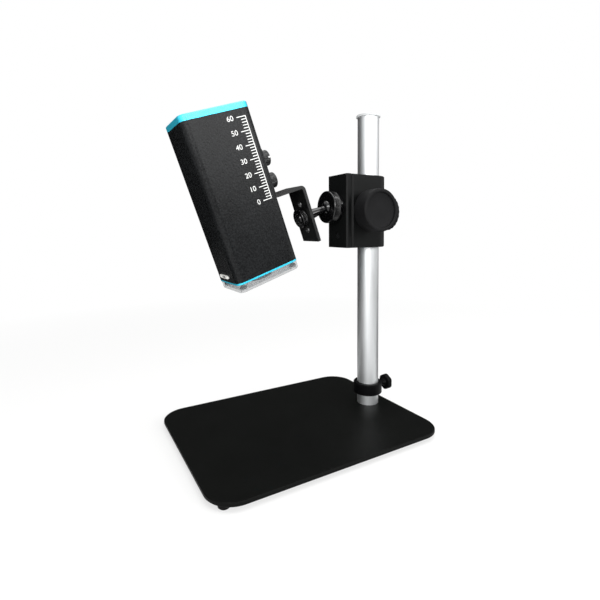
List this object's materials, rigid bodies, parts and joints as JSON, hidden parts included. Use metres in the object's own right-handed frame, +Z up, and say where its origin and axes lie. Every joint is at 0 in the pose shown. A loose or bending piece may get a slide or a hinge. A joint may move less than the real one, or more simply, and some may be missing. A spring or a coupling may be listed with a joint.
{
  "type": "usb digital microscope",
  "caption": "USB digital microscope on a pole stand: flat base, sliding focus block with rack and pinion, ball joint, bent bracket and a box-shaped camera body with a clear lit nose.",
  "frame": {"origin": "on the floor under the centre of the base plate", "axes": "+Z up along the pole, +X from the base plate's centre towards the pole, +Y across the base plate, away from the focus knob"},
  "size_m": [0.1977, 0.147, 0.266],
  "materials": {
    "black_steel": "matt black powder coat",
    "foot_rubber": "matt",
    "pole_aluminium": "satin anodised",
    "steel": "turned",
    "black_screw": "black oxide",
    "pale_plastic": "satin",
    "black_aluminium": "black anodised",
    "nylon": "natural",
    "knob_plastic": "matt",
    "brass": "machined",
    "gloss_black": "polished black anodised",
    "gloss_black_steel": "polished black",
    "shell_aluminium": "bead blasted, black anodised",
    "blue_aluminium": "bright blue anodised",
    "clear_plastic": "clear, lightly frosted",
    "white_plastic": "smooth",
    "black_plastic": "moulded",
    "white_board": "solder mask",
    "lamp_resin": "clear dome",
    "lens_glass": "coated",
    "green_board": "solder mask"
  },
  "bodies": {
    "stand": {"base_plate": "black_steel", "rubber_feet": "foot_rubber", "pole": "pole_aluminium", "pole_plug": "steel", "pole_screw": "black_screw", "pole_end_cap": "pale_plastic"},
    "collar": {"stop_collar": "black_aluminium"},
    "collar_thumbscrew": {"collar_screw": "black_screw"},
    "bush": {"liner_bush": "nylon"},
    "block": {"focus_block": "black_aluminium"},
    "lock": {"lock_knob": "knob_plastic", "lock_screw": "steel"},
    "slide": {"slide_plate": "black_aluminium", "rack": "brass", "rack_screw": "black_screw", "socket_housing": "gloss_black"},
    "focus": {"pinion_shaft": "steel", "focus_knob": "knob_plastic", "shaft_washer": "steel", "shaft_screw": "black_screw"},
    "ring": {"locking_ring": "gloss_black"},
    "seat": {"ball_seat": "nylon"},
    "stud": {"ball_stud": "gloss_black_steel"},
    "nut": {"thumb_nut": "gloss_black_steel"},
    "microscope": {"bracket": "black_steel", "body_shell": "shell_aluminium", "body_inserts": "brass", "top_cap": "blue_aluminium", "cap_screws": "black_screw", "trim_plate": "blue_aluminium", "nose_cover": "clear_plastic", "nose_screws": "black_screw", "button_switch": "black_plastic", "led_board": "white_board", "leds": "lamp_resin", "lens_mount": "black_plastic", "lens_barrel": "black_aluminium", "front_lens": "lens_glass", "rear_lens": "lens_glass", "sensor_board": "green_board", "image_sensor": "black_plastic", "main_board": "green_board", "video_chip": "black_plastic", "board_link": "pale_plastic", "usb_socket": "steel"},
    "upper_screw": {"upper_thumbscrew": "black_screw"},
    "lower_screw": {"lower_thumbscrew": "black_screw"},
    "button": {"snapshot_button": "white_plastic"}
  },
  "joints": [
    {"name": "collar_slide", "type": "slide", "parent": "stand", "child": "collar", "axis": [0, 0, 1], "range_m": [-0.009, 0.034]},
    {"name": "collar_screw_turn", "type": "hinge", "parent": "collar", "child": "collar_thumbscrew", "pos_m": [0.076, 0, 0.0204], "axis": [1, 0, 0], "range_deg": [0, 360]},
    {"name": "block_slide", "type": "slide", "parent": "stand", "child": "bush", "axis": [0, 0, 1], "range_m": [-0.075, 0.045]},
    {"name": "block_swivel", "type": "hinge", "parent": "bush", "child": "block", "pos_m": [0.076, 0, 0.1802], "axis": [0, 0, 1], "continuous": true},
    {"name": "lock_knob_turn", "type": "hinge", "parent": "block", "child": "lock", "pos_m": [0.076, 0, 0.1802], "axis": [1, 0, 0], "range_deg": [0, 360]},
    {"name": "focus_slide", "type": "slide", "parent": "block", "child": "slide", "axis": [0, 0, 1], "range_m": [-0.01, 0.01]},
    {"name": "focus_knob_turn", "type": "hinge", "parent": "block", "child": "focus", "pos_m": [0.06075, 0, 0.1802], "axis": [0, 1, 0], "range_deg": [-191.59, 191.59]},
    {"name": "locking_ring_turn", "type": "hinge", "parent": "slide", "child": "ring", "pos_m": [0.03325, 0, 0.1836], "axis": [-1, 0, 0], "range_deg": [0, 90]},
    {"name": "ball_spin", "type": "hinge", "parent": "slide", "child": "seat", "pos_m": [0.03325, 0, 0.1836], "axis": [1, 0, 0], "range_deg": [-45, 45]},
    {"name": "ball_tilt", "type": "hinge", "parent": "seat", "child": "stud", "pos_m": [0.03325, 0, 0.1836], "axis": [0, 1, 0], "range_deg": [-10.6, 49.4]},
    {"name": "bracket_turn", "type": "hinge", "parent": "stud", "child": "microscope", "pos_m": [0.01061, 0, 0.17563], "axis": [0.9432, 0, 0.3322], "range_deg": [-45, 45]},
    {"name": "thumb_nut_turn", "type": "hinge", "parent": "stud", "child": "nut", "pos_m": [0.00816, 0, 0.17476], "axis": [-0.9432, 0, -0.3322], "range_deg": [0, 360]},
    {"name": "upper_thumbscrew_turn", "type": "hinge", "parent": "microscope", "child": "upper_screw", "pos_m": [-0.03465, 0, 0.21715], "axis": [0.9432, 0, 0.3322], "range_deg": [0, 360]},
    {"name": "lower_thumbscrew_turn", "type": "hinge", "parent": "microscope", "child": "lower_screw", "pos_m": [-0.0288, 0, 0.20055], "axis": [0.9432, 0, 0.3322], "range_deg": [0, 360]},
    {"name": "button_press", "type": "slide", "parent": "microscope", "child": "button", "axis": [0.9432, 0, 0.3322], "range_m": [0, 0.0006], "stiffness_N_per_m": 1500, "springref_m": -0.0004}
  ],
  "couplings": [
    {"joint": "focus_knob_turn", "follows": "focus_slide", "rad_per_m": 333.33}
  ]
}
